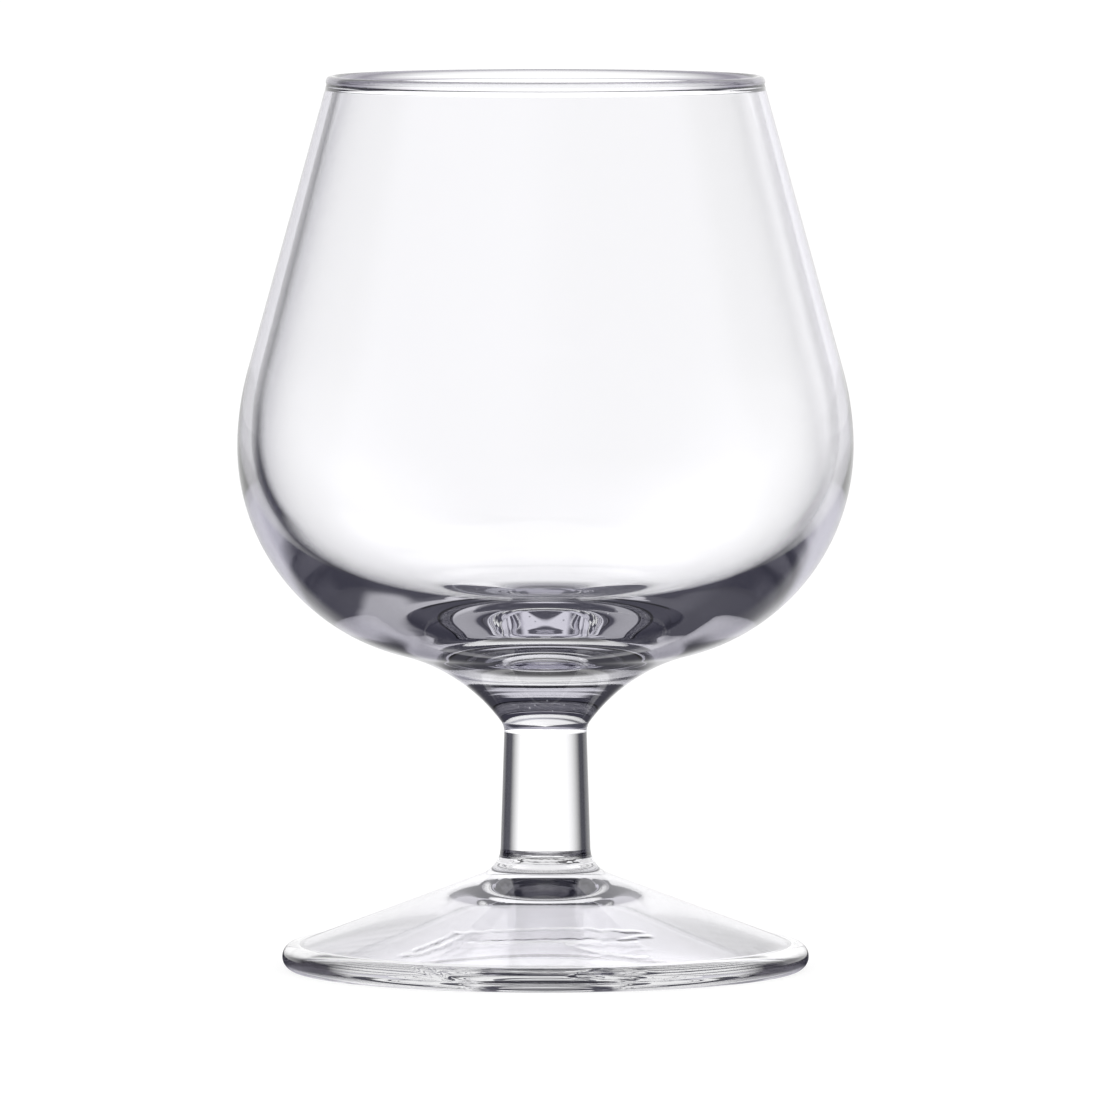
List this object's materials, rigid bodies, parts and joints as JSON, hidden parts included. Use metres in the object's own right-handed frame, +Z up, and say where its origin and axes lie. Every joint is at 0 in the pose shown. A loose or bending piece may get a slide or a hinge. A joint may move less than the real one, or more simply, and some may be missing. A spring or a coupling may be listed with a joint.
{
  "type": "brandy snifter",
  "caption": "Clear stemmed spirit glass with a wide bowl that tapers to a rounded rim, a heavy base, a short stem and a conical foot.",
  "frame": {"origin": "centre of the ring that the foot stands on, at table level", "axes": "+Z up along the glass's axis of revolution; the picture looks along +Y"},
  "size_m": [0.082, 0.082, 0.1189],
  "materials": {
    "bowl_glass": "clear, fire-polished",
    "stem_glass": "clear, drawn",
    "foot_glass": "clear, pressed, faintly wrinkled"
  },
  "bodies": {
    "root": {"bowl": "bowl_glass", "stem": "stem_glass", "foot": "foot_glass"}
  },
  "joints": []
}
